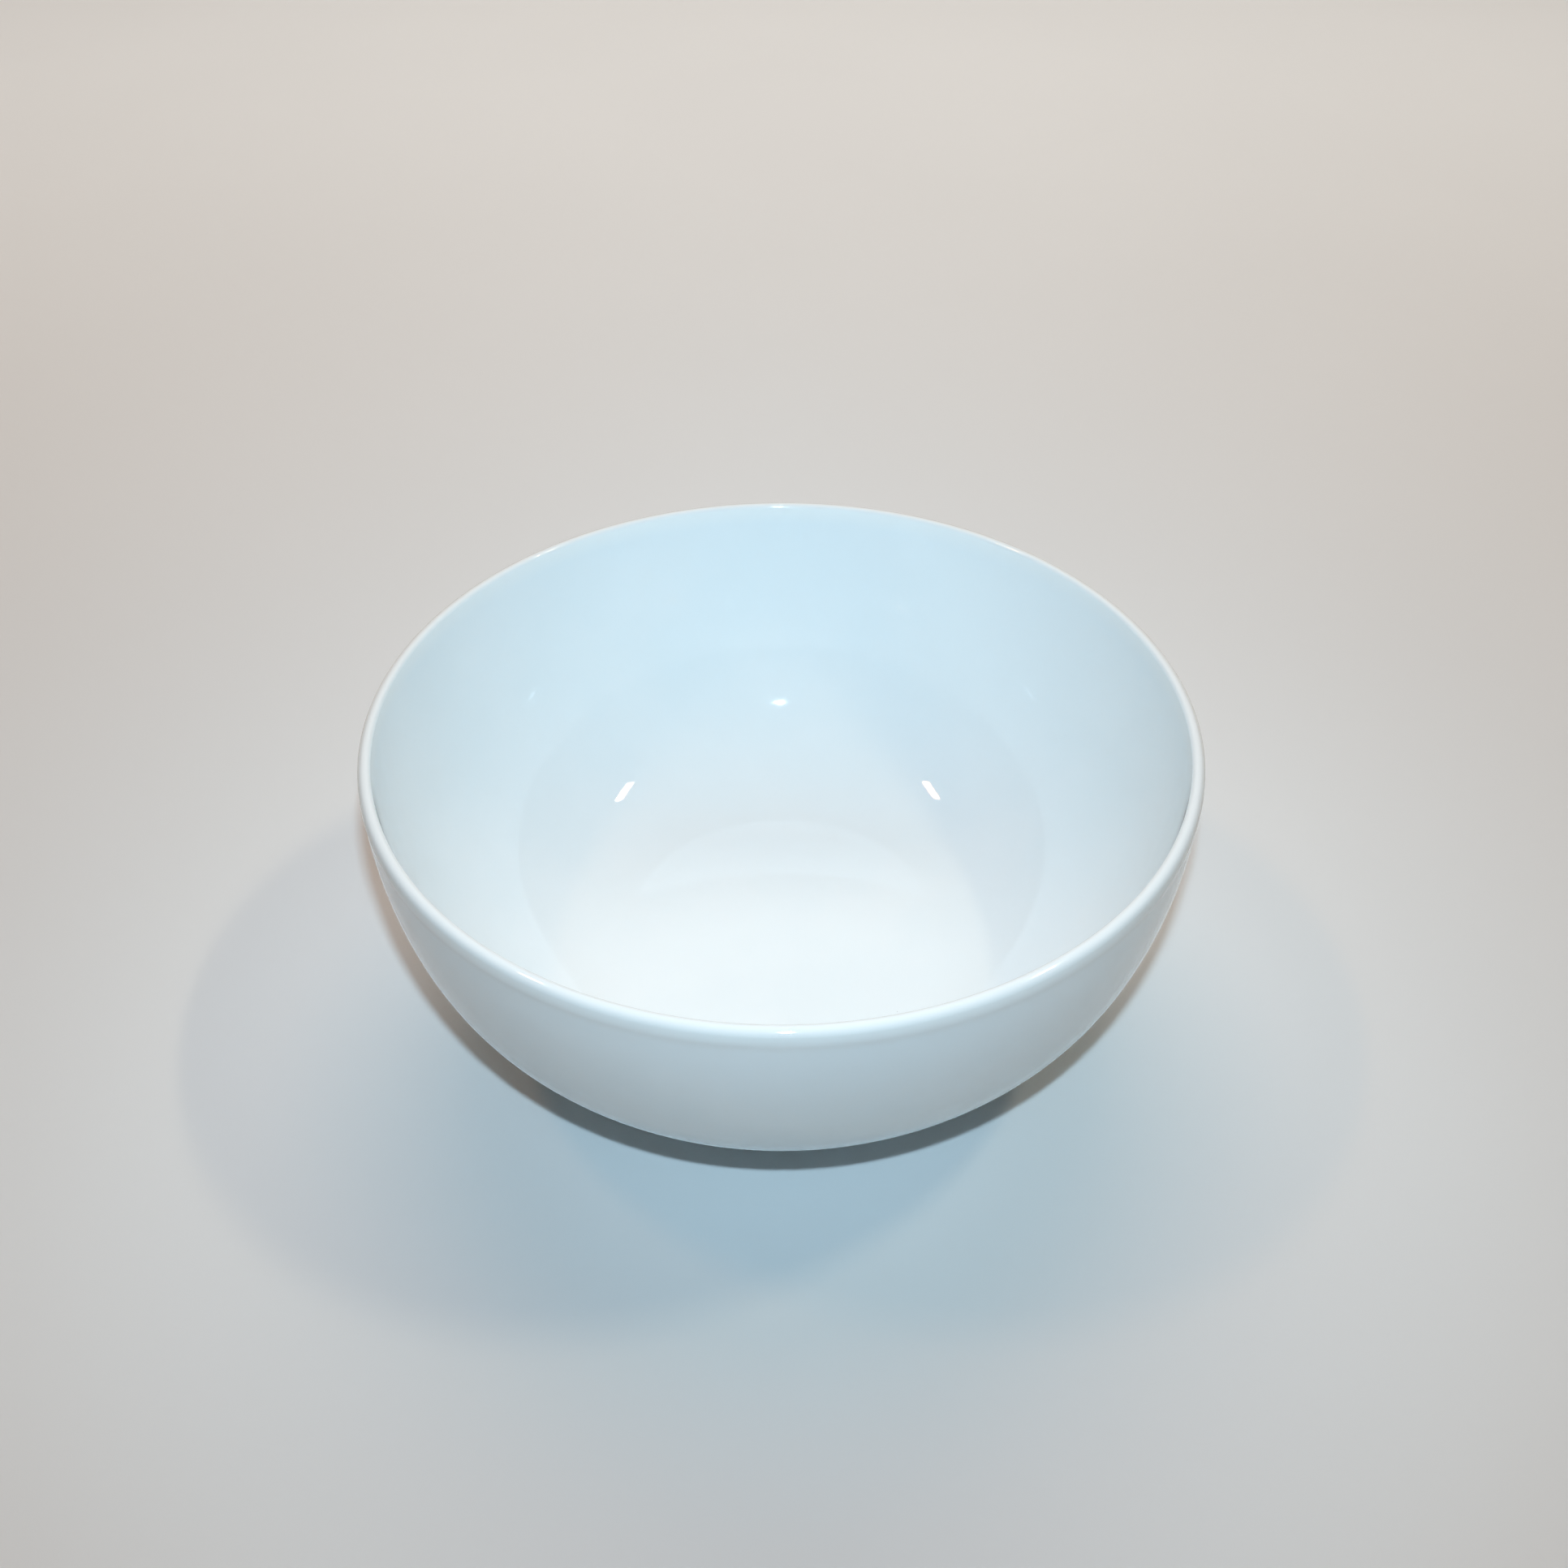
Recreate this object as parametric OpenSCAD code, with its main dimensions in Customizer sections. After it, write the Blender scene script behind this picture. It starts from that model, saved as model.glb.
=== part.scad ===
// Porcelain serving bowl: a fired body on a turned foot ring, under separate glaze coats.
// The origin is on the table at the centre of the foot ring, +Z points up, millimetres.

/* [Bowl] */
// Outside diameter over the lip
rim_d = 220; // [210:1:230]
// Height of the lip's crest above the table
bowl_h = 96; // [94:0.5:100]
// Thickness of the floor at the centre, glaze included
floor_t = 5; // [4:0.5:6]

/* [Outside] */
// Radius of the nearly straight band under the lip
wall_r = 120; // [118:1:122]
// Radius of the flank between that band and the belly
flank_r = 83; // [81:1:85]
// Radius of the belly, where the wall turns under
belly_r = 60; // [58:1:62]
// Radius of the underside, between the belly and the foot ring
under_r = 72; // [70:1:73]

/* [Inside] */
// Radius of the nearly straight wall
inner_wall_r = 165; // [155:5:170]
// Radius of the lower wall
inner_flank_r = 70; // [68:1:72]
// Radius of the nearly flat floor
dish_r = 1200; // [800:100:2000]

/* [Lip] */
// Radius of the rounding between the crest and the outside
lip_outer_r = 2.1; // [1.8:0.1:2.4]
// Radius of the rounding between the crest and the inside
lip_inner_r = 1.3; // [1.1:0.1:1.6]
// Radius of the soft bead on the outside of the lip
bead_r = 9; // [7:1:12]
// Radius of the shallow hollow under the bead
hollow_r = 22; // [16:1:30]
// Length of the straight band between the lip and the curved wall
lip_run = 3.5; // [2:0.5:5]

/* [Foot] */
// Outside diameter of the foot ring at its root
foot_d = 94; // [90:1:95]
// Width of the flat face that the bowl stands on
bearing_w = 2.4; // [2:0.1:3]
// Radius of the fillets at the foot ring's root
root_r = 2.5; // [2:0.5:3]
// Radius of the two edges beside the bearing face
edge_r = 0.8; // [0.6:0.1:1]
// Slope of the foot ring's two sides
draft = 8; // [5:1:12]
// Height of the band above the table that is wiped bare of glaze
wipe_h = 1.4; // [1:0.1:2]

/* [Glaze] */
// Thickness of every coat of glaze
glaze_t = 0.35; // [0.3:0.05:0.5]
// Depth of the glaze band that wraps the lip
lip_band_h = 5; // [4:0.5:7]

/* [Hidden] */
$fn = 180;

// Furthest that a chord lies from its arc
flatness = 0.01;
// Extra length of a cutting shape past what it cuts
past = 1;
// How much lower the recess ends than the foot's outer root
ceiling_drop = 0.8;

// The section is drawn as chains of arcs that run smoothly into each other, from the crest of the
// lip down the outside and down the inside. The lean of a chain at a point is the angle between
// straight down and the way it runs: -90 outwards, 0 down, 90 inwards, 180 up. side is 1 on the
// outside and -1 on the inside. An arc is [radius, lean at its end, straight run after it], and its
// radius is negative where the surface is hollow.
function facing(lean, side) = side * [cos(lean), -sin(lean)];
function heading(lean) = [-sin(lean), -cos(lean)];
function arc_centre(point, lean, radius, side) = point - radius * facing(lean, side);
function after(point, lean, arc, side) = arc_centre(point, lean, arc[0], side)
    + arc[0] * facing(arc[1], side) + arc[2] * heading(arc[1]);
function chords(radius, turn) = ceil(turn / (2 * acos(1 - flatness / radius)));

// Where a chain ends
function chain_end(point, lean, arcs, side, i = 0) =
    i == len(arcs) ? point : chain_end(after(point, lean, arcs[i], side), arcs[i][1], arcs, side, i + 1);

// The points of a chain, moved into the material by depth
function chain(point, lean, arcs, side, depth, i = 0) =
    i == len(arcs) ? [] :
    let (
        radius = arcs[i][0],
        turn = arcs[i][1] - lean,
        count = chords(abs(radius), abs(turn)),
        centre = arc_centre(point, lean, radius, side),
        next = after(point, lean, arcs[i], side),
        round_part = [
            for (k = [1 : count]) centre + (radius - depth) * facing(lean + turn * k / count, side)
        ],
        straight_part = arcs[i][2] > 0 ? [next - depth * facing(arcs[i][1], side)] : []
    )
    concat(round_part, straight_part, chain(next, arcs[i][1], arcs, side, depth, i + 1));

// Lean where each arc of the outside ends, from the lip to the underside
shoulder_lean = -12;
bead_lean = 7;
neck_lean = 2;
wall_lean = 14.5;
flank_lean = 21.7;
belly_lean = 40;
under_lean = 80;

// Lean at the top of the inside wall, and where each of its arcs ends
inner_top_lean = 4.5;
inner_wall_lean = 16;
inner_flank_lean = 34;

// The crest, placed so that the bead is widest at the rim diameter
crest_r = rim_d / 2 - lip_outer_r * cos(shoulder_lean) - bead_r * (1 - cos(shoulder_lean));
crest = [crest_r, bowl_h];

// Outside, from the crest to where the underside has turned nearly level
outer_upper_arcs = [
    [lip_outer_r, shoulder_lean, 0],
    [bead_r, 0, 0],
    [bead_r, bead_lean, 0],
    [-hollow_r, neck_lean, lip_run],
    [wall_r, wall_lean, 0],
    [flank_r, flank_lean, 0],
    [belly_r, belly_lean, 0],
    [under_r, under_lean, 0]
];
under_end = chain_end(crest, -90, outer_upper_arcs, 1);

// A straight underside runs on to the fillet at the foot's root
root_start = foot_d / 2 + root_r * (1 - cos(under_lean));
under_run = (under_end[0] - root_start) / sin(under_lean);
root_z = under_end[1] - under_run * cos(under_lean);
recess_h = root_z - ceiling_drop;

// Straight lengths of the foot's two sides
edge_top = edge_r * (1 - sin(draft));
outer_run = (root_z - root_r * (sin(under_lean) - sin(draft)) - edge_top) / cos(draft);
inner_run = (recess_h - root_r * (1 - sin(draft)) - edge_top) / cos(draft);
outer_arcs = concat(outer_upper_arcs, [
    [under_r, under_lean, under_run],
    [-root_r, draft, outer_run],
    [edge_r, 90, bearing_w],
    [edge_r, 180 - draft, inner_run],
    [-root_r, 90, 0]
]);

// Inside, from the crest to the end of the lower wall
inner_upper_arcs = [
    [lip_inner_r, inner_top_lean, lip_run],
    [-inner_wall_r, inner_wall_lean, 0],
    [-inner_flank_r, inner_flank_lean, 0]
];
flank_end = chain_end(crest, 90, inner_upper_arcs, -1);

// The corner arc leaves the lower wall smoothly and meets the floor, whose centre is on the axis
floor_z = recess_h + floor_t;
dish_centre = [0, floor_z + dish_r];
reach = dish_centre - flank_end;
corner_facing = facing(inner_flank_lean, -1);
corner_r = (reach * reach - dish_r * dish_r) / (2 * (corner_facing * reach - dish_r));
corner_centre = flank_end + corner_r * corner_facing;
dish_lean = acos(dish_r * (corner_centre - dish_centre)[0] / (dish_r - corner_r) / dish_r);
inner_arcs = concat(inner_upper_arcs, [[-corner_r, dish_lean, 0], [-dish_r, 90, 0]]);

// Right half of the section, with its whole surface moved into the material by depth
module section(depth) {
    outside = chain(crest, -90, outer_arcs, 1, depth);
    inside = chain(crest, 90, inner_arcs, -1, depth);
    top = crest - [0, depth];
    recess_middle = [0, recess_h + depth];
    polygon(concat([top], outside, [recess_middle], [for (i = [len(inside) - 1 : -1 : 0]) inside[i]]));
}

// A rectangle between two heights, from the axis to past the rim
module band(bottom, top) {
    translate([0, bottom]) square([rim_d, top - bottom]);
}

// The half section of the clay: everything under the glaze, and the bare foot
module clay() {
    section(glaze_t);
    intersection() {
        section(0);
        band(-past, wipe_h);
    }
}

// The half section of all glaze
module glaze() {
    difference() {
        section(0);
        section(glaze_t);
        band(-past, wipe_h);
    }
}

// What the bowl holds, up to past the lip, and the inner skin of the wall around it
module hold() {
    inside_wall = chain(crest, 90, inner_arcs, -1, past);
    polygon(concat([[0, bowl_h + past]], [[crest[0], bowl_h + past]], inside_wall));
}

module porcelain_body() {
    color([0.93, 0.93, 0.91])
        rotate_extrude() difference() {
            clay();
            band(-past, recess_h);
        }
}

module foot_ring() {
    color([0.86, 0.84, 0.80])
        rotate_extrude() intersection() {
            clay();
            band(-past, recess_h);
        }
}

module inner_glaze() {
    color([0.84, 0.92, 0.94])
        rotate_extrude() intersection() {
            glaze();
            hold();
            band(0, bowl_h - lip_band_h);
        }
}

module lip_glaze() {
    color([0.91, 0.94, 0.92])
        rotate_extrude() intersection() {
            glaze();
            band(bowl_h - lip_band_h, bowl_h + past);
        }
}

// Inside the ring's middle, up to the recess
module under_recess() {
    square([foot_d / 2 - root_r, root_z]);
}

module outer_glaze() {
    color([0.78, 0.86, 0.89])
        rotate_extrude() difference() {
            glaze();
            hold();
            under_recess();
            band(bowl_h - lip_band_h, bowl_h + past);
        }
}

module base_glaze() {
    color([0.86, 0.90, 0.91])
        rotate_extrude() intersection() {
            glaze();
            under_recess();
        }
}

porcelain_body();
foot_ring();
inner_glaze();
lip_glaze();
outer_glaze();
base_glaze();
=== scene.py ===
"""Looks for a white porcelain serving bowl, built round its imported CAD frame."""
import math

import bpy
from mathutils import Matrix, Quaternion, Vector


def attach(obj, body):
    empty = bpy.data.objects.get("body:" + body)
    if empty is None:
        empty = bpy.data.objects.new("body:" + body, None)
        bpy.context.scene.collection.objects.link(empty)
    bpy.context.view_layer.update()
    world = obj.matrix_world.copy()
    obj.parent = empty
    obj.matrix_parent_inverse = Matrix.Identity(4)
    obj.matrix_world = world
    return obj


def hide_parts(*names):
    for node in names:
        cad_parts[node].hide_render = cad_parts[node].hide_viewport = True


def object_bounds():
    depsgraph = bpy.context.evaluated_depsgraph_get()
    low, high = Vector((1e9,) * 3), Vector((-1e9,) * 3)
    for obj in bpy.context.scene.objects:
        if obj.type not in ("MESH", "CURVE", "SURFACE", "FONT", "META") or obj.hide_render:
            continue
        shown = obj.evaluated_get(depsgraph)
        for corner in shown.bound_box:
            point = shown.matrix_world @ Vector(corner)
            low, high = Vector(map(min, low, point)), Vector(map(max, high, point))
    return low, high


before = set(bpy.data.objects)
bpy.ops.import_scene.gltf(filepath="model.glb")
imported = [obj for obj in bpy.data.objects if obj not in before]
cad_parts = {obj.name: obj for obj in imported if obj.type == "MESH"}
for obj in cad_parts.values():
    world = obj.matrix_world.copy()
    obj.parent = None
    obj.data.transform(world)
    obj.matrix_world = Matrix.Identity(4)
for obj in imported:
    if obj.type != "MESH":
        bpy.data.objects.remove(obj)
cad_low, cad_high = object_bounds()

MM = 0.001
RIM_R = round((cad_high.x - cad_low.x) / 2 / MM, 1)
BOWL_H = round(cad_high.z / MM, 1)

# ---------------------------------------------------------------- driving sizes of the section, in mm
# The same as in the CAD source
FLOOR_T = 5.0
WALL_R = 120.0
FLANK_R = 83.0
BELLY_R = 60.0
UNDER_R = 72.0
INNER_WALL_R = 165.0
INNER_FLANK_R = 70.0
DISH_R = 1200.0
LIP_OUTER_R = 2.1
LIP_INNER_R = 1.3
BEAD_R = 9.0
HOLLOW_R = 22.0
LIP_RUN = 3.5
FOOT_R = 47.0
CEILING_DROP = 0.8
BEARING_W = 2.4
ROOT_R = 2.5
EDGE_R = 0.8
DRAFT = 8.0
WIPE_H = 1.4
GLAZE_T = 0.35
LIP_BAND_H = 5.0

# Only in the looks, in mm: how far the bare foot lies under the glaze beside it, how high it's worn,
# and how far below the crest the lip's creamier tone and painted warm light start and are full
BARE_SINK = 0.15
WORN_H = 1.2
LIP_FADE = 7.0
LIP_FULL = 1.0

# Lean of the section where each arc ends, in degrees: -90 runs outwards, 0 down, 90 inwards, 180 up
SHOULDER_LEAN = -12.0
BEAD_LEAN = 7.0
NECK_LEAN = 2.0
WALL_LEAN = 14.5
FLANK_LEAN = 21.7
BELLY_LEAN = 40.0
UNDER_LEAN = 80.0
INNER_TOP_LEAN = 4.5
INNER_WALL_LEAN = 16.0
INNER_FLANK_LEAN = 34.0

# Mesh fineness: steps round the axis, and the longest step in mm and the widest in degrees along an arc
SEGMENTS = 240
LONGEST_CHORD = 1.6
WIDEST_TURN = 4.0

# Points closer than this, in mm, are the same point
SAME = 1e-6


# ---------------------------------------------------------------- camera
# Its place, in mm in front of the bowl's axis and above the crest of its lip
CAMERA_BACK = 353.1
CAMERA_UP = 276.5
# Its direction, in degrees
CAMERA_TURN = 0.11
CAMERA_DIP = 40.31
CAMERA_ROLL = -0.082
# Its lens and sensor, in mm
CAMERA_LENS = 39.13
CAMERA_SENSOR = 36.0


def looking(turn, dip, roll):
    """Rotation of a camera that looks along +Y, turned clockwise, dipped down, then rolled."""
    a, p = math.radians(turn), math.radians(dip)
    forward = Vector((math.sin(a) * math.cos(p), math.cos(a) * math.cos(p), -math.sin(p)))
    return forward.to_track_quat("-Z", "Y") @ Quaternion((0, 0, 1), math.radians(roll))


def add_camera():
    data = bpy.data.cameras.new("camera")
    data.sensor_width = CAMERA_SENSOR
    data.lens = CAMERA_LENS
    data.clip_start = 0.01
    camera = bpy.data.objects.new("camera", data)
    camera.location = Vector((0, -CAMERA_BACK, BOWL_H + CAMERA_UP)) * MM
    camera.rotation_mode = "QUATERNION"
    camera.rotation_quaternion = looking(CAMERA_TURN, CAMERA_DIP, CAMERA_ROLL)
    bpy.context.scene.collection.objects.link(camera)
    bpy.context.scene.camera = camera


add_camera()


# ---------------------------------------------------------------- section, as chains of arcs
def facing(lean, side):
    """Outward direction of the surface in the section; side is 1 on the outside, -1 on the inside."""
    a = math.radians(lean)
    return Vector((math.cos(a), -math.sin(a))) * side


def heading(lean):
    """Direction in which the surface runs."""
    a = math.radians(lean)
    return Vector((-math.sin(a), -math.cos(a)))


def run_chain(start, lean, arcs, side):
    """Samples (point, facing) along arcs that join smoothly. An arc is (radius, lean at its end,
    straight run after it), and its radius is negative where the surface is hollow."""
    samples = [(start, facing(lean, side))]
    point = start
    for radius, end, run in arcs:
        turn = end - lean
        length = abs(radius * math.radians(turn))
        count = max(math.ceil(length / LONGEST_CHORD), math.ceil(abs(turn) / WIDEST_TURN), 1)
        centre = point - facing(lean, side) * radius
        for k in range(1, count + 1):
            out = facing(lean + turn * k / count, side)
            samples.append((centre + out * radius, out))
        point = samples[-1][0]
        pieces = math.ceil(run / LONGEST_CHORD)
        for k in range(1, pieces + 1):
            samples.append((point + heading(end) * run * k / pieces, facing(end, side)))
        point = samples[-1][0]
        lean = end
    return samples


def drop(lean):
    """Share of an arc's radius between its lowest point and where it has this lean."""
    return 1 - math.sin(math.radians(lean))


def outside_samples(crest):
    """Samples from the crest down the outside to the recess, the numbers of those at the foot's root
    and at the recess, and the recess's height."""
    upper = [
        (LIP_OUTER_R, SHOULDER_LEAN, 0),
        (BEAD_R, BEAD_LEAN, 0),
        (-HOLLOW_R, NECK_LEAN, LIP_RUN),
        (WALL_R, WALL_LEAN, 0),
        (FLANK_R, FLANK_LEAN, 0),
        (BELLY_R, BELLY_LEAN, 0),
        (UNDER_R, UNDER_LEAN, 0),
    ]
    under_end = run_chain(crest, -90, upper, 1)[-1][0]
    under, draft = math.radians(UNDER_LEAN), math.radians(DRAFT)
    root_start = FOOT_R + ROOT_R * (1 - math.cos(under))
    under_run = (under_end.x - root_start) / math.sin(under)
    root_z = under_end.y - under_run * math.cos(under)
    recess_h = root_z - CEILING_DROP
    edge_top = EDGE_R * drop(DRAFT)
    outer_run = (root_z - ROOT_R * (math.sin(under) - math.sin(draft)) - edge_top) / math.cos(draft)
    inner_run = (recess_h - ROOT_R * drop(DRAFT) - edge_top) / math.cos(draft)
    upper[-1] = (UNDER_R, UNDER_LEAN, under_run)
    foot = [
        (-ROOT_R, DRAFT, outer_run),
        (EDGE_R, 90, BEARING_W),
        (EDGE_R, 180 - DRAFT, inner_run),
        (-ROOT_R, 90, 0),
    ]
    samples = run_chain(crest, -90, upper, 1)
    root = len(samples) - 1
    samples = run_chain(crest, -90, upper + foot, 1)
    ceiling = len(samples) - 1
    return samples, root, ceiling, recess_h


def inside_samples(crest, floor_z):
    """Samples from the crest down the inside to the middle of the floor. The corner arc leaves the
    lower wall smoothly, and has the radius that lets it meet the floor smoothly too."""
    upper = [
        (LIP_INNER_R, INNER_TOP_LEAN, LIP_RUN),
        (-INNER_WALL_R, INNER_WALL_LEAN, 0),
        (-INNER_FLANK_R, INNER_FLANK_LEAN, 0),
    ]
    flank_end = run_chain(crest, 90, upper, -1)[-1][0]
    dish_centre = Vector((0, floor_z + DISH_R))
    reach = dish_centre - flank_end
    out = facing(INNER_FLANK_LEAN, -1)
    corner_r = (reach.length_squared - DISH_R ** 2) / (2 * (out.dot(reach) - DISH_R))
    corner_centre = flank_end + out * corner_r
    dish_lean = math.degrees(math.acos((corner_centre - dish_centre).x / (DISH_R - corner_r)))
    return run_chain(crest, 90, upper + [(-corner_r, dish_lean, 0), (-DISH_R, 90, 0)], -1)


def cut(samples, first, last, height):
    """Index of a new sample put in where the surface crosses a height, between two samples."""
    for i in range(first, last):
        (p, a), (q, b) = samples[i], samples[i + 1]
        if (p.y - height) * (q.y - height) <= 0 and p.y != q.y:
            share = (p.y - height) / (p.y - q.y)
            samples.insert(i + 1, (p.lerp(q, share), a.lerp(b, share).normalized()))
            return i + 1
    raise ValueError(f"the section doesn't cross {height} mm")


crest_x = RIM_R - LIP_OUTER_R * math.cos(math.radians(SHOULDER_LEAN))
crest_x -= BEAD_R * (1 - math.cos(math.radians(SHOULDER_LEAN)))
crest = Vector((crest_x, BOWL_H))
outside, root, ceiling, recess_h = outside_samples(crest)
inside = inside_samples(crest, recess_h + FLOOR_T)

# Where the glaze coats meet, and where they are wiped away. A cut adds a sample, so the ones after
# it move on by one
outside_band = cut(outside, 0, root, BOWL_H - LIP_BAND_H)
root, ceiling = root + 1, ceiling + 1
outer_wipe = cut(outside, root, ceiling, WIPE_H)
ceiling += 1
inner_wipe = cut(outside, outer_wipe + 1, ceiling, WIPE_H)
ceiling += 1
inside_band = cut(inside, 0, len(inside) - 1, BOWL_H - LIP_BAND_H)
recess_middle = (Vector((0, recess_h)), Vector((0, -1)))


# ---------------------------------------------------------------- meshes
def skin(samples, depth=0.0):
    """The surface at a depth under the samples, as (point, normal) pairs."""
    return [(p - out * depth, out) for p, out in samples]


def back(samples, depth):
    """The same surface seen from below, for the hidden side of a coat."""
    return [(p - out * depth, -out) for p, out in reversed(samples)]


def flat_face(a, b):
    """A flat strip between two points of a loop that keeps its material on the right."""
    along = (b - a).normalized()
    out = Vector((-along.y, along.x))
    return [(a, out), (b, out)]


def on_axis(point):
    return abs(point.x) < SAME


def coat(samples):
    """The loop round a coat of glaze that lies under a run of the surface."""
    front, hidden = skin(samples), back(samples, GLAZE_T)
    strips = [front]
    if not on_axis(front[-1][0]):
        strips.append(flat_face(front[-1][0], hidden[0][0]))
    strips.append(hidden)
    if not on_axis(front[0][0]):
        strips.append(flat_face(hidden[-1][0], front[0][0]))
    return strips


def loop_of(strips):
    """Points of a section loop, and its spans as (point number, normal at start, normal at end)."""
    points, spans = [], []
    for strip in strips:
        for (p, a), (q, b) in zip(strip, strip[1:]):
            if (p - q).length < SAME:
                continue
            if not points or (points[-1] - p).length > SAME:
                points.append(p)
            spans.append((len(points) - 1, a, b))
            points.append(q)
    if (points[0] - points[-1]).length < SAME:
        points.pop()
    return points, spans


def lathe(name, strips):
    """One closed solid of revolution. It keeps the section's own normals, so pieces that meet
    smoothly show no seam."""
    points, spans = loop_of(strips)
    angles = [math.tau * k / SEGMENTS for k in range(SEGMENTS)]
    spokes = [(math.cos(angle), math.sin(angle)) for angle in angles]
    verts, rings, faces, normals = [], [], [], []
    for p in points:
        first = len(verts)
        if on_axis(p):
            verts.append((0, 0, p.y * MM))
            rings.append([first] * SEGMENTS)
        else:
            verts.extend((p.x * c * MM, p.x * s * MM, p.y * MM) for c, s in spokes)
            rings.append(list(range(first, first + SEGMENTS)))
    for i, a, b in spans:
        here, there = rings[i], rings[(i + 1) % len(rings)]
        for k in range(SEGMENTS):
            m = (k + 1) % SEGMENTS
            corners = [(here[k], k, a), (there[k], k, b), (there[m], m, b), (here[m], m, a)]
            if here[k] == here[m]:
                corners.pop()
            if there[k] == there[m]:
                corners.pop(1)
            faces.append([vertex for vertex, _, _ in corners])
            normals.extend((n.x * spokes[j][0], n.x * spokes[j][1], n.y) for _, j, n in corners)
    mesh = bpy.data.meshes.new(name)
    mesh.from_pydata(verts, [], faces)
    mesh.polygons.foreach_set("use_smooth", [True] * len(faces))
    mesh.normals_split_custom_set(normals)
    piece = bpy.data.objects.new(name, mesh)
    bpy.context.scene.collection.objects.link(piece)
    return piece


def body_loop():
    """The clay under the glaze: up the inside, down the outside, and across the foot's root."""
    up = skin(inside[::-1], GLAZE_T)
    down = skin(outside[:root + 1], GLAZE_T)
    under = skin([outside[ceiling], recess_middle], GLAZE_T)
    return [up, down, flat_face(down[-1][0], under[0][0]), under]


def foot_loop():
    """The foot ring. Its bare part lies a little under the glaze beside it, but stands on the table."""
    sides = []
    for p, out in outside[root:ceiling + 1]:
        if p.y > WIPE_H:
            sides.append((p - out * GLAZE_T, out))
        else:
            sides.append((Vector((p.x - out.x * BARE_SINK, p.y)), out))
    return [sides, flat_face(sides[-1][0], sides[0][0])]


# ---------------------------------------------------------------- node materials
# The sockets of a colour Mix node, which share their names with others
MIX_A, MIX_B, MIX_RESULT = 6, 7, 2


class Graph:
    """A material's node tree, with short calls to add nodes and link them."""

    def __init__(self, name):
        self.material = bpy.data.materials.new(name)
        self.material.use_nodes = True
        self.tree = self.material.node_tree
        self.tree.nodes.clear()

    def add(self, kind, inputs, **settings):
        made = self.tree.nodes.new("ShaderNode" + kind)
        for key, value in settings.items():
            setattr(made, key, value)
        for key, value in inputs.items():
            if isinstance(value, bpy.types.NodeSocket):
                self.tree.links.new(value, made.inputs[key])
            else:
                made.inputs[key].default_value = value
        return made

    def maths(self, operation, a, b):
        return self.add("Math", {0: a, 1: b}, operation=operation).outputs[0]

    def place(self):
        return self.add("TexCoord", {}).outputs["Object"]

    def noise(self, place, size_mm, detail=2.0, roughness=0.5):
        """Noise whose largest features are about size_mm across, from 0 to 1."""
        inputs = {"Vector": place, "Scale": 1 / (size_mm * MM), "Detail": detail, "Roughness": roughness}
        return self.add("TexNoise", inputs).outputs["Fac"]

    def spread(self, value, low, high, to_low, to_high):
        """The value moved from one range to another, held inside it, with soft ends."""
        inputs = {"Value": value, "From Min": low, "From Max": high, "To Min": to_low, "To Max": to_high}
        return self.add("MapRange", inputs, interpolation_type="SMOOTHSTEP").outputs["Result"]

    def blend(self, share, a, b, mode="MIX"):
        made = self.add("Mix", {0: share}, data_type="RGBA", blend_type=mode)
        for index, value in ((MIX_A, a), (MIX_B, b)):
            if isinstance(value, bpy.types.NodeSocket):
                self.tree.links.new(value, made.inputs[index])
            else:
                made.inputs[index].default_value = (*value, 1)
        return made.outputs[MIX_RESULT]

    def bump(self, height, depth_mm, normal=None):
        """A normal for a height from 0 to 1 that stands depth_mm tall."""
        inputs = {"Height": height, "Distance": depth_mm * MM, "Strength": 1.0}
        if normal is not None:
            inputs["Normal"] = normal
        return self.add("Bump", inputs).outputs["Normal"]

    def finish(self, **inputs):
        named = {key.replace("_", " "): value for key, value in inputs.items()}
        shader = self.add("BsdfPrincipled", named)
        self.add("OutputMaterial", {"Surface": shader.outputs[0]})
        return self.material


# Colours, as linear light, and how much of the glaze's tone a speck hides
GLAZE_TONE = (0.825, 0.865, 0.87)
GLAZE_POOLED = (0.80, 0.85, 0.86)
# The lip's tone: creamier where the glaze is thinner, and lighter and warmer as painted warm light on
# the lip
LIP_CREAM_AND_PAINTED_LIGHT = (0.865, 0.885, 0.87)
SPECK_TONE = (0.07, 0.06, 0.05)
SPECK_COVER = 0.85
CLAY_TONE = (0.80, 0.78, 0.73)
CLAY_STAIN = (0.52, 0.47, 0.40)
FLOOR_TONE = (0.77, 0.795, 0.80)
FLOOR_CLOUD = (0.7392, 0.7632, 0.768)
ROOM_LIGHT = (0.02, 0.0175, 0.0125)
BACKDROP_TONE = (0.36, 0.345, 0.33)


def specks(g, place, size_mm, reach_mm, share):
    """1 inside sparse round specks of about reach_mm radius, one in some cells of size_mm."""
    cells = g.add("TexVoronoi", {"Vector": place, "Scale": 1 / (size_mm * MM), "Randomness": 1.0})
    draw = g.add("SeparateColor", {0: cells.outputs["Color"]}).outputs[0]
    chosen = g.maths("GREATER_THAN", draw, 1 - share)
    reach = reach_mm / size_mm
    inside_speck = g.spread(cells.outputs["Distance"], 0.5 * reach, reach, 1.0, 0.0)
    return g.maths("MULTIPLY", chosen, inside_speck)


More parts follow.
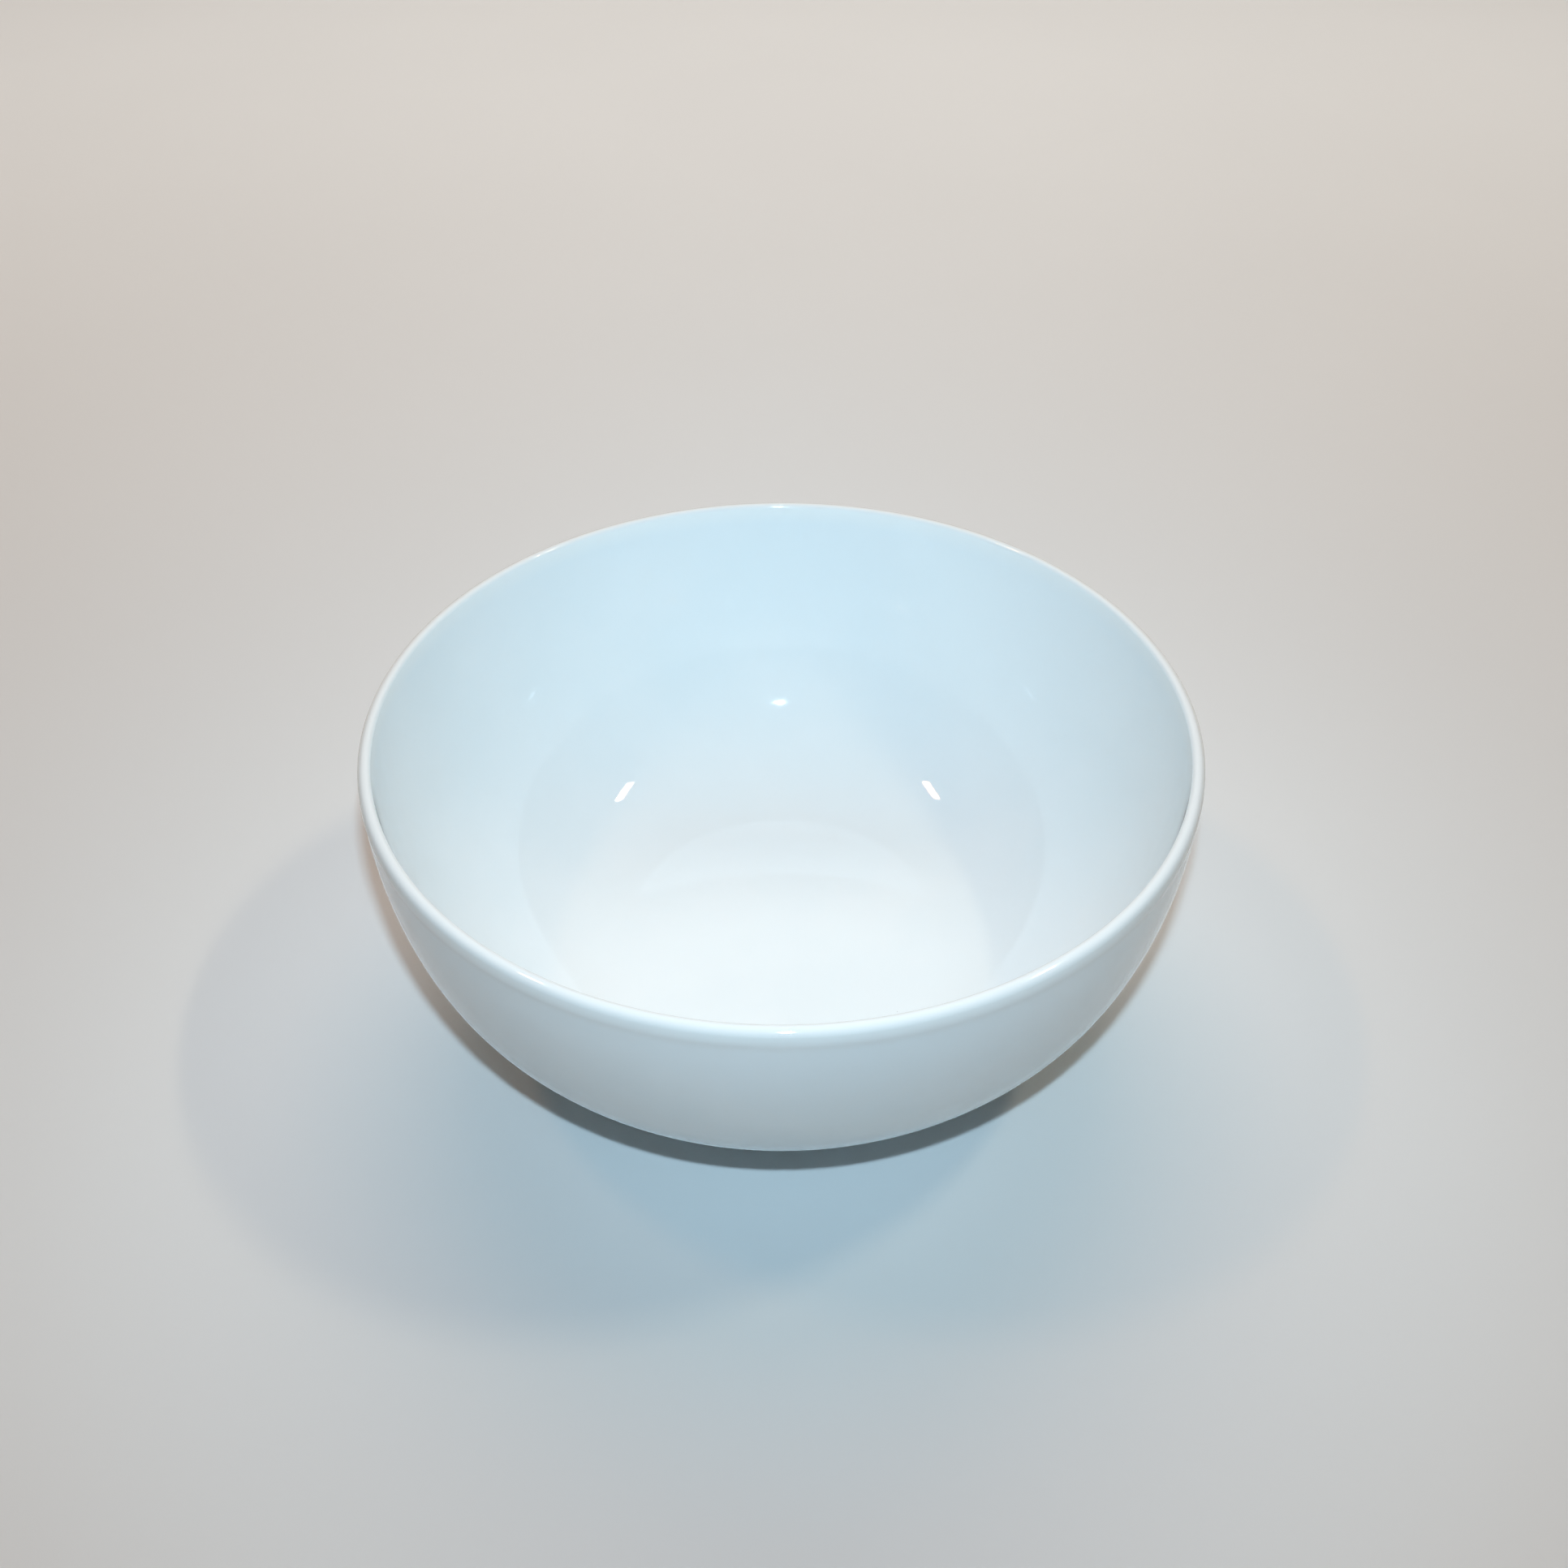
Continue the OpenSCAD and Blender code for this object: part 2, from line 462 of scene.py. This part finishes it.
def glaze_material(name, speck_share=0.10, peel_mm=0.0015, roughness=0.035):
    """Clear, cool glaze over white clay: nearly even colour, creamier where the glaze is thinner over
    the lip and lighter there with painted warm light, with faint clouds, a few dark specks and pinholes,
    and a surface that is not quite true."""
    g = Graph(name)
    place = g.place()
    height = g.add("SeparateXYZ", {0: place}).outputs["Z"]
    cloud = g.spread(g.noise(place, size_mm=45, detail=3.0), 0.35, 0.65, 0.0, 1.0)
    colour = g.blend(cloud, GLAZE_TONE, GLAZE_POOLED)
    # Painted light: the band below the crest is drawn lighter and warmer, as warm light on the lip, as
    # well as creamier for its thinner glaze
    lip_cream_and_light = g.spread(height, (BOWL_H - LIP_FADE) * MM, (BOWL_H - LIP_FULL) * MM, 0.0, 1.0)
    colour = g.blend(lip_cream_and_light, colour, LIP_CREAM_AND_PAINTED_LIGHT)
    dots = specks(g, place, size_mm=17, reach_mm=0.28, share=speck_share)
    colour = g.blend(g.maths("MULTIPLY", dots, SPECK_COVER), colour, SPECK_TONE)
    fine = g.noise(place, size_mm=3.0)
    gloss = g.spread(fine, 0.3, 0.7, roughness * 0.8, roughness * 1.3)
    sag = g.bump(g.noise(place, size_mm=38, detail=1.0), depth_mm=0.05)
    peel = g.bump(g.noise(place, size_mm=2.6, detail=1.5), depth_mm=peel_mm, normal=sag)
    holes = specks(g, place, size_mm=11, reach_mm=0.2, share=speck_share)
    pitted = g.bump(g.maths("SUBTRACT", 1.0, holes), depth_mm=0.05, normal=peel)
    return g.finish(Base_Color=colour, Roughness=gloss, Normal=pitted, IOR=1.52)


def clay_material(name):
    """Bare fired porcelain: matt, finely grained, and stained where the foot rubs on the table."""
    g = Graph(name)
    place = g.place()
    grain = g.noise(place, size_mm=0.6, detail=4.0, roughness=0.65)
    stain = g.spread(g.noise(place, size_mm=7, detail=4.0, roughness=0.6), 0.52, 0.75, 0.0, 0.5)
    height = g.add("SeparateXYZ", {0: place}).outputs["Z"]
    worn = g.spread(height, 0.0, WORN_H * MM, 0.55, 0.0)
    colour = g.blend(g.maths("MAXIMUM", stain, worn), CLAY_TONE, CLAY_STAIN)
    colour = g.blend(g.spread(grain, 0.35, 0.65, 0.0, 0.35), colour, CLAY_STAIN, "MULTIPLY")
    rough = g.spread(grain, 0.3, 0.7, 0.72, 0.9)
    grainy = g.bump(grain, depth_mm=0.06)
    return g.finish(Base_Color=colour, Roughness=rough, Normal=grainy, IOR=1.5)


def floor_material(name):
    """A plain pale surface with faint, wide clouds."""
    g = Graph(name)
    cloud = g.spread(g.noise(g.place(), size_mm=220), 0.3, 0.7, 0.0, 0.3)
    colour = g.blend(cloud, FLOOR_TONE, FLOOR_CLOUD)
    return g.finish(Base_Color=colour, Roughness=0.85, IOR=1.4)


# ---------------------------------------------------------------- the bowl's pieces
PIECES = [
    # piece, CAD node it stands for, loop, material
    ("body_piece", "porcelain_body", body_loop(), clay_material("fired_porcelain")),
    ("foot_piece", "foot_ring", foot_loop(), clay_material("bare_foot_ring")),
    (
        "inside_coat",
        "inner_glaze",
        coat(inside[:inside_band - 1:-1]),
        glaze_material("inside_glaze"),
    ),
    (
        "lip_coat",
        "lip_glaze",
        coat(inside[inside_band:0:-1] + outside[:outside_band + 1]),
        glaze_material("lip_glaze"),
    ),
    (
        "outside_coat",
        "outer_glaze",
        coat(outside[outside_band:outer_wipe + 1]),
        glaze_material("outside_glaze"),
    ),
    (
        "base_coat",
        "base_glaze",
        coat(outside[inner_wipe:ceiling + 1] + [recess_middle]),
        glaze_material("base_glaze", speck_share=0.3, peel_mm=0.008, roughness=0.1),
    ),
]
for name, node, strips, material in PIECES:
    piece = lathe(name, strips)
    piece.data.materials.append(material)
    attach(piece, "root")
    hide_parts(node)


# ---------------------------------------------------------------- floor and light
# Half the floor's width, in metres
FLOOR_HALF = 3.0


def add_floor():
    quarters = ((-1, -1), (1, -1), (1, 1), (-1, 1))
    corners = [(x * FLOOR_HALF, y * FLOOR_HALF, 0) for x, y in quarters]
    mesh = bpy.data.meshes.new("floor")
    mesh.from_pydata(corners, [], [(0, 1, 2, 3)])
    mesh.materials.append(floor_material("pale_floor"))
    floor = bpy.data.objects.new("floor", mesh)
    bpy.context.scene.collection.objects.link(floor)


def add_lamp(name, place, aim, size, watts, colour, spread=180.0, mirrored=True):
    """A rectangular lamp at a place, in metres, that shines at another place, over a spread in degrees.
    One that isn't mirrored gives light, but no reflection in the glaze."""
    data = bpy.data.lights.new(name, "AREA")
    data.shape = "RECTANGLE"
    data.size, data.size_y = size
    data.energy = watts
    data.color = colour
    data.spread = math.radians(spread)
    lamp = bpy.data.objects.new(name, data)
    lamp.location = place
    lamp.rotation_mode = "QUATERNION"
    lamp.rotation_quaternion = (Vector(aim) - Vector(place)).to_track_quat("-Z", "Y")
    lamp.visible_glossy = mirrored
    bpy.context.scene.collection.objects.link(lamp)


def add_world():
    """A room that gives a little even light, and a plain backdrop that only the camera sees."""
    world = bpy.data.worlds.new("room")
    world.use_nodes = True
    tree = world.node_tree
    tree.nodes.clear()
    seen = tree.nodes.new("ShaderNodeLightPath").outputs["Is Camera Ray"]
    tone = tree.nodes.new("ShaderNodeMix")
    tone.data_type = "RGBA"
    tone.inputs[MIX_A].default_value = (*ROOM_LIGHT, 1)
    tone.inputs[MIX_B].default_value = (*BACKDROP_TONE, 1)
    tree.links.new(seen, tone.inputs[0])
    background = tree.nodes.new("ShaderNodeBackground")
    tree.links.new(tone.outputs[MIX_RESULT], background.inputs["Color"])
    output = tree.nodes.new("ShaderNodeOutputWorld")
    tree.links.new(background.outputs[0], output.inputs["Surface"])
    bpy.context.scene.world = world


add_floor()
add_world()

# The flash, close beside the lens
add_lamp(
    "flash",
    place=(0.005, -0.337, 0.435),
    aim=(0, 0.36, 0),
    size=(0.016, 0.010),
    watts=0.97,
    colour=(0.595, 0.83, 1.0),
    spread=112.0,
)

# Two warm lamps, high on the left and the right
add_lamp(
    "left",
    place=(-1.34, 0.19, 2.4),
    aim=(0, 0, 0.05),
    size=(0.36, 0.09),
    watts=5.2,
    colour=(1.0, 0.60, 0.32),
)
add_lamp(
    "right",
    place=(1.47, 0.20, 2.4),
    aim=(0, 0, 0.05),
    size=(0.36, 0.09),
    watts=9.3,
    colour=(1.0, 0.83, 0.60),
)

# Soft light from above, and on the floor behind the bowl
add_lamp(
    "overhead",
    place=(0, 0.9, 2.4),
    aim=(0, 0.3, 0),
    size=(1.6, 1.4),
    watts=14.4,
    colour=(1.0, 0.556, 0.368),
    mirrored=False,
)
add_lamp(
    "behind",
    place=(0, 1.5, 1.5),
    aim=(0, 0.75, 0),
    size=(2.4, 0.5),
    watts=6.5,
    colour=(0.90, 0.98, 1.0),
    spread=80.0,
    mirrored=False,
)
bpy.context.scene.view_settings.view_transform = "Standard"
